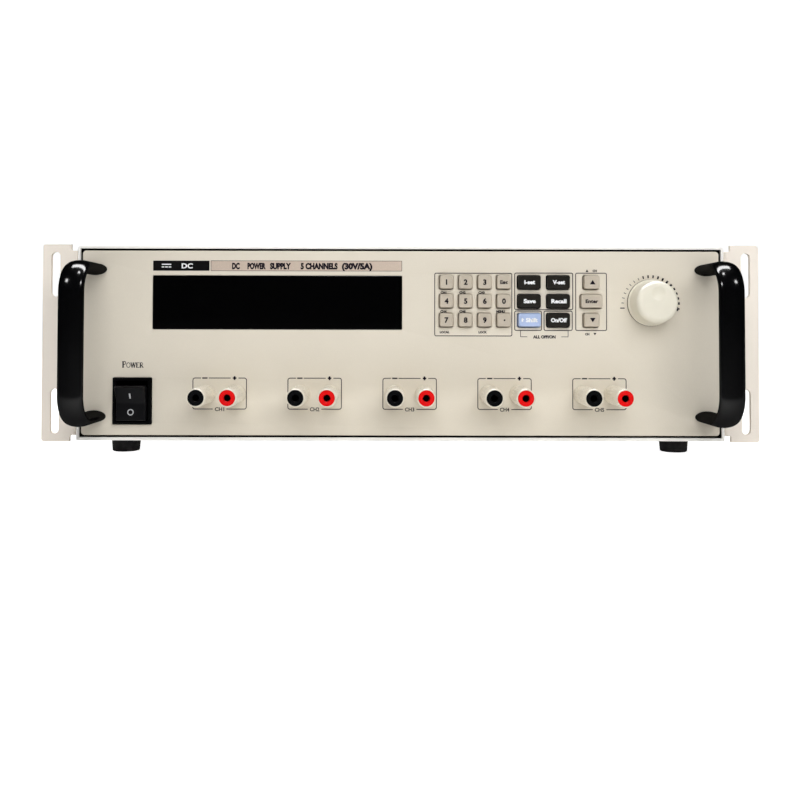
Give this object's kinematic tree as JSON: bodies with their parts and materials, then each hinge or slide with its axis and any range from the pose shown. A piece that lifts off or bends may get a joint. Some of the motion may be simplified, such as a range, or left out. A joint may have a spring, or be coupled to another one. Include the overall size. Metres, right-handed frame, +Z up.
{
  "type": "bench power supply",
  "caption": "Wide low cream bench DC supply with rack ears, black bow handles, dark display window, keypad, tuning knob, rocker switch, screw terminals and a rear mains lead",
  "frame": {"origin": "under the middle of the footprint, lead included, on the plane that the feet stand on", "axes": "+X to the right of someone who faces the front, +Y from the front to the back, +Z up"},
  "size_m": [0.4826, 0.5386, 0.1429],
  "materials": {
    "case_paint": "fine matt powder coat, warm cream",
    "handle_black": "glossy black enamel",
    "foot_rubber": "matt black",
    "window_acrylic": "polished smoked black",
    "display_glass": "dark glass",
    "circuit_board": "green solder mask",
    "switch_black": "satin moulded black",
    "knob_cream": "fine satin cream",
    "shaft_steel": "turned",
    "key_cream": "satin beige",
    "key_black": "satin black",
    "key_blue": "satin light blue",
    "terminal_brass": "nickel-bright turned",
    "terminal_cream": "moulded, semi-gloss",
    "terminal_red": "moulded, semi-gloss",
    "terminal_black": "moulded, semi-gloss",
    "winding_tape": "varnished yellow tape over copper and steel",
    "heatsink_aluminium": "extruded, natural",
    "fan_plastic": "satin black",
    "guard_wire": "bright plated wire",
    "inlet_black": "satin moulded black",
    "lead_pvc": "glossy black PVC",
    "screw_zinc": "zinc plated",
    "legend_ink": "printed ink"
  },
  "bodies": {
    "case": {"top_cover": "case_paint", "chassis": "case_paint", "rear_panel": "case_paint", "front_panel": "case_paint", "rack_ear_right": "case_paint", "rack_ear_left": "case_paint", "handle_left": "handle_black", "handle_right": "handle_black", "foot_front_left": "foot_rubber", "foot_back_left": "foot_rubber", "foot_front_right": "foot_rubber", "foot_back_right": "foot_rubber", "display_window": "window_acrylic", "display_module": "display_glass", "control_board": "circuit_board", "switch_body": "switch_black", "terminal_board": "terminal_brass", "transformer": "winding_tape", "power_board": "circuit_board", "heatsink": "heatsink_aluminium", "fan_frame": "fan_plastic", "fan_guard": "guard_wire", "mains_inlet": "inlet_black"},
    "adjust_knob": {"adjust_knob": "knob_cream", "encoder_shaft": "shaft_steel"},
    "switch_rocker": {"switch_rocker": "switch_black"},
    "fan_rotor": {"fan_rotor": "fan_plastic"},
    "fuse_drawer": {"fuse_drawer": "inlet_black"},
    "mains_lead": {"mains_lead": "lead_pvc"},
    "key_1": {"key_1": "key_cream"},
    "key_2": {"key_2": "key_cream"},
    "key_3": {"key_3": "key_cream"},
    "key_escape": {"key_escape": "key_cream"},
    "key_4": {"key_4": "key_cream"},
    "key_5": {"key_5": "key_cream"},
    "key_6": {"key_6": "key_cream"},
    "key_0": {"key_0": "key_cream"},
    "key_7": {"key_7": "key_cream"},
    "key_8": {"key_8": "key_cream"},
    "key_9": {"key_9": "key_cream"},
    "key_point": {"key_point": "key_cream"},
    "key_current_set": {"key_current_set": "key_black"},
    "key_voltage_set": {"key_voltage_set": "key_black"},
    "key_save": {"key_save": "key_black"},
    "key_recall": {"key_recall": "key_black"},
    "key_shift": {"key_shift": "key_blue"},
    "key_output_on_off": {"key_output_on_off": "key_black"},
    "key_up": {"key_up": "key_cream"},
    "key_enter": {"key_enter": "key_cream"},
    "key_down": {"key_down": "key_cream"},
    "terminal_cap_1_minus": {"terminal_cap_1_minus": "terminal_cream"},
    "terminal_cap_1_plus": {"terminal_cap_1_plus": "terminal_cream"},
    "terminal_cap_2_minus": {"terminal_cap_2_minus": "terminal_cream"},
    "terminal_cap_2_plus": {"terminal_cap_2_plus": "terminal_cream"},
    "terminal_cap_3_minus": {"terminal_cap_3_minus": "terminal_cream"},
    "terminal_cap_3_plus": {"terminal_cap_3_plus": "terminal_cream"},
    "terminal_cap_4_minus": {"terminal_cap_4_minus": "terminal_cream"},
    "terminal_cap_4_plus": {"terminal_cap_4_plus": "terminal_cream"},
    "terminal_cap_5_minus": {"terminal_cap_5_minus": "terminal_cream"},
    "terminal_cap_5_plus": {"terminal_cap_5_plus": "terminal_cream"}
  },
  "joints": [
    {"name": "adjust_knob_spin", "type": "hinge", "parent": "case", "child": "adjust_knob", "pos_m": [0.1685, -0.23042, 0.1042], "axis": [0, 1, 0], "continuous": true},
    {"name": "switch_rocker_tilt", "type": "hinge", "parent": "case", "child": "switch_rocker", "pos_m": [-0.1803, -0.21892, 0.0376], "axis": [-1, 0, 0], "range_deg": [0, 22]},
    {"name": "fan_rotor_spin", "type": "hinge", "parent": "case", "child": "fan_rotor", "pos_m": [0.095, 0.14658, 0.0767], "axis": [0, 1, 0], "continuous": true},
    {"name": "fuse_drawer_pull", "type": "slide", "parent": "case", "child": "fuse_drawer", "axis": [0, 1, 0], "range_m": [0, 0.018]},
    {"name": "mains_lead_unplug", "type": "slide", "parent": "case", "child": "mains_lead", "axis": [0, 1, 0], "range_m": [0, 0.02]},
    {"name": "key_1_press", "type": "slide", "parent": "case", "child": "key_1", "axis": [0, 1, 0], "range_m": [0, 0.0012]},
    {"name": "key_2_press", "type": "slide", "parent": "case", "child": "key_2", "axis": [0, 1, 0], "range_m": [0, 0.0012]},
    {"name": "key_3_press", "type": "slide", "parent": "case", "child": "key_3", "axis": [0, 1, 0], "range_m": [0, 0.0012]},
    {"name": "key_escape_press", "type": "slide", "parent": "case", "child": "key_escape", "axis": [0, 1, 0], "range_m": [0, 0.0012]},
    {"name": "key_4_press", "type": "slide", "parent": "case", "child": "key_4", "axis": [0, 1, 0], "range_m": [0, 0.0012]},
    {"name": "key_5_press", "type": "slide", "parent": "case", "child": "key_5", "axis": [0, 1, 0], "range_m": [0, 0.0012]},
    {"name": "key_6_press", "type": "slide", "parent": "case", "child": "key_6", "axis": [0, 1, 0], "range_m": [0, 0.0012]},
    {"name": "key_0_press", "type": "slide", "parent": "case", "child": "key_0", "axis": [0, 1, 0], "range_m": [0, 0.0012]},
    {"name": "key_7_press", "type": "slide", "parent": "case", "child": "key_7", "axis": [0, 1, 0], "range_m": [0, 0.0012]},
    {"name": "key_8_press", "type": "slide", "parent": "case", "child": "key_8", "axis": [0, 1, 0], "range_m": [0, 0.0012]},
    {"name": "key_9_press", "type": "slide", "parent": "case", "child": "key_9", "axis": [0, 1, 0], "range_m": [0, 0.0012]},
    {"name": "key_point_press", "type": "slide", "parent": "case", "child": "key_point", "axis": [0, 1, 0], "range_m": [0, 0.0012]},
    {"name": "key_current_set_press", "type": "slide", "parent": "case", "child": "key_current_set", "axis": [0, 1, 0], "range_m": [0, 0.0012]},
    {"name": "key_voltage_set_press", "type": "slide", "parent": "case", "child": "key_voltage_set", "axis": [0, 1, 0], "range_m": [0, 0.0012]},
    {"name": "key_save_press", "type": "slide", "parent": "case", "child": "key_save", "axis": [0, 1, 0], "range_m": [0, 0.0012]},
    {"name": "key_recall_press", "type": "slide", "parent": "case", "child": "key_recall", "axis": [0, 1, 0], "range_m": [0, 0.0012]},
    {"name": "key_shift_press", "type": "slide", "parent": "case", "child": "key_shift", "axis": [0, 1, 0], "range_m": [0, 0.0012]},
    {"name": "key_output_on_off_press", "type": "slide", "parent": "case", "child": "key_output_on_off", "axis": [0, 1, 0], "range_m": [0, 0.0012]},
    {"name": "key_up_press", "type": "slide", "parent": "case", "child": "key_up", "axis": [0, 1, 0], "range_m": [0, 0.0012]},
    {"name": "key_enter_press", "type": "slide", "parent": "case", "child": "key_enter", "axis": [0, 1, 0], "range_m": [0, 0.0012]},
    {"name": "key_down_press", "type": "slide", "parent": "case", "child": "key_down", "axis": [0, 1, 0], "range_m": [0, 0.0012]},
    {"name": "terminal_cap_1_minus_turn", "type": "hinge", "parent": "case", "child": "terminal_cap_1_minus", "pos_m": [-0.1308, -0.24042, 0.0422], "axis": [0, -1, 0], "range_deg": [0, 1350]},
    {"name": "terminal_cap_1_plus_turn", "type": "hinge", "parent": "case", "child": "terminal_cap_1_plus", "pos_m": [-0.1108, -0.24042, 0.0422], "axis": [0, -1, 0], "range_deg": [0, 1350]},
    {"name": "terminal_cap_2_minus_turn", "type": "hinge", "parent": "case", "child": "terminal_cap_2_minus", "pos_m": [-0.0674, -0.24042, 0.0422], "axis": [0, -1, 0], "range_deg": [0, 1350]},
    {"name": "terminal_cap_2_plus_turn", "type": "hinge", "parent": "case", "child": "terminal_cap_2_plus", "pos_m": [-0.0474, -0.24042, 0.0422], "axis": [0, -1, 0], "range_deg": [0, 1350]},
    {"name": "terminal_cap_3_minus_turn", "type": "hinge", "parent": "case", "child": "terminal_cap_3_minus", "pos_m": [-0.004, -0.24042, 0.0422], "axis": [0, -1, 0], "range_deg": [0, 1350]},
    {"name": "terminal_cap_3_plus_turn", "type": "hinge", "parent": "case", "child": "terminal_cap_3_plus", "pos_m": [0.016, -0.24042, 0.0422], "axis": [0, -1, 0], "range_deg": [0, 1350]},
    {"name": "terminal_cap_4_minus_turn", "type": "hinge", "parent": "case", "child": "terminal_cap_4_minus", "pos_m": [0.0594, -0.24042, 0.0422], "axis": [0, -1, 0], "range_deg": [0, 1350]},
    {"name": "terminal_cap_4_plus_turn", "type": "hinge", "parent": "case", "child": "terminal_cap_4_plus", "pos_m": [0.0794, -0.24042, 0.0422], "axis": [0, -1, 0], "range_deg": [0, 1350]},
    {"name": "terminal_cap_5_minus_turn", "type": "hinge", "parent": "case", "child": "terminal_cap_5_minus", "pos_m": [0.1228, -0.24042, 0.0422], "axis": [0, -1, 0], "range_deg": [0, 1350]},
    {"name": "terminal_cap_5_plus_turn", "type": "hinge", "parent": "case", "child": "terminal_cap_5_plus", "pos_m": [0.1428, -0.24042, 0.0422], "axis": [0, -1, 0], "range_deg": [0, 1350]}
  ]
}
